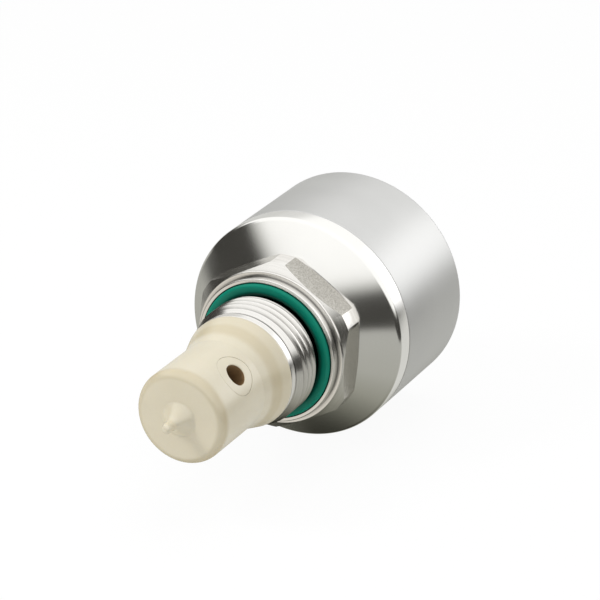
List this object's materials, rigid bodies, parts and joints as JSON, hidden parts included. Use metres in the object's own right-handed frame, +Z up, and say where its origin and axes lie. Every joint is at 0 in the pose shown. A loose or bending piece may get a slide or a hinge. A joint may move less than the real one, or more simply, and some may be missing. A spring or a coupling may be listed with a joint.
{
  "type": "inductive conductivity sensor",
  "caption": "Inductive conductivity sensor: plastic probe with a cross channel, steel pipe thread with hexagon and seal, round steel housing with a conical front and a rear plug connector.",
  "frame": {"origin": "point of the sensor's axis in the plane of the collar's sealing lip, where the lip meets the mating boss", "axes": "-Y along the sensor's axis towards the probe's tip, +Y towards the plug connector, +Z up as in the picture; the cross channel lies in the XZ plane's direction at 43.8 degrees from +X towards +Z"},
  "size_m": [0.062, 0.1206, 0.062],
  "materials": {
    "peek": "moulded polyether ketone, natural beige, satin",
    "turned_steel": "turned and milled stainless steel",
    "polished_steel": "finely turned, polished stainless steel",
    "blasted_steel": "fine satin stainless steel",
    "green_rubber": "moulded fluorocarbon rubber, green",
    "black_rubber": "moulded rubber, black",
    "black_plastic": "moulded glass-filled plastic, black",
    "liner_film": "translucent insulating film",
    "gold_plate": "gold-plated brass contact",
    "ferrite": "sintered ferrite",
    "copper_wire": "enamelled copper wire",
    "copper_sheet": "bright copper sheet",
    "lead_insulation": "white lead insulation",
    "ceramic": "alumina ceramic",
    "circuit_board": "glass-epoxy board with green mask",
    "can_aluminium": "deep-drawn aluminium can"
  },
  "bodies": {
    "root": {"probe_body": "peek", "flow_tube": "peek", "process_connection": "turned_steel", "front_cap": "polished_steel", "housing_tube": "blasted_steel", "rear_cover": "blasted_steel", "process_seal": "green_rubber", "probe_seal": "green_rubber", "connector_seal": "black_rubber", "probe_ring_nut": "turned_steel", "connector_shell": "turned_steel", "connector_nut": "turned_steel", "connector_insert": "black_plastic", "insulating_liner": "liner_film", "contact_pin_1": "gold_plate", "contact_pin_2": "gold_plate", "contact_pin_3": "gold_plate", "contact_pin_4": "gold_plate", "transmit_core": "ferrite", "receive_core": "ferrite", "transmit_winding": "copper_wire", "receive_winding": "copper_wire", "coil_screen": "copper_sheet", "coil_leads": "lead_insulation", "temperature_leads": "lead_insulation", "temperature_element": "ceramic", "sensor_board": "circuit_board", "supply_board": "circuit_board", "front_post_1": "turned_steel", "rear_post_1": "turned_steel", "board_screw_1": "turned_steel", "capacitor_1": "can_aluminium", "front_post_2": "turned_steel", "rear_post_2": "turned_steel", "board_screw_2": "turned_steel", "capacitor_2": "can_aluminium", "front_post_3": "turned_steel", "rear_post_3": "turned_steel", "board_screw_3": "turned_steel", "capacitor_3": "can_aluminium", "measuring_chip": "black_plastic", "processor_chip": "black_plastic", "board_link": "black_plastic", "transformer": "ferrite"}
  },
  "joints": []
}
